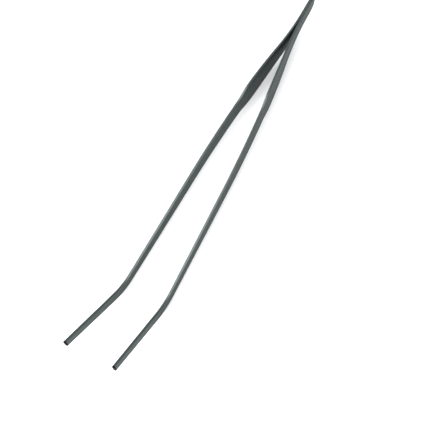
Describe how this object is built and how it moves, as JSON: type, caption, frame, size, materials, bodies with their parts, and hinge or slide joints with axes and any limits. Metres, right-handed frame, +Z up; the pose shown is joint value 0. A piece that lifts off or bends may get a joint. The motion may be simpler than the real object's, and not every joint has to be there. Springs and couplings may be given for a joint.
{
  "type": "spring crucible tongs",
  "caption": "Long spring tongs for small crucibles: two bowed steel strips joined at the heel, with leaf-shaped grips and slim jaws bent upwards.",
  "frame": {"origin": "on the bench below the middle of the tongs: centre of the bounding box in X and Y, bottom of it in Z", "axes": "+X from the heel to the jaws, +Y to the left arm and across the opening, +Z up, the way the jaws are bent"},
  "size_m": [0.3038, 0.0306, 0.0299],
  "materials": {
    "steel": "satin dark grey steel, fine cross grain",
    "weld": "fused steel, hidden between the strips"
  },
  "bodies": {
    "heel": {"left_heel_leaf": "steel", "right_heel_leaf": "steel", "rear_spot_weld": "weld", "middle_spot_weld": "weld", "front_spot_weld": "weld"},
    "left_arm": {"left_arm": "steel"},
    "right_arm": {"right_arm": "steel"}
  },
  "joints": [
    {"name": "left_arm_flex", "type": "hinge", "parent": "heel", "child": "left_arm", "pos_m": [-0.11389, 0.00134, 0.00935], "axis": [-0.0304, 0, -0.9995], "range_deg": [0, 2.93], "stiffness_Nm_per_rad": 6.8},
    {"name": "right_arm_flex", "type": "hinge", "parent": "heel", "child": "right_arm", "pos_m": [-0.11389, -0.00134, 0.00935], "axis": [0.0304, 0, 0.9995], "range_deg": [0, 2.93], "stiffness_Nm_per_rad": 6.8}
  ]
}
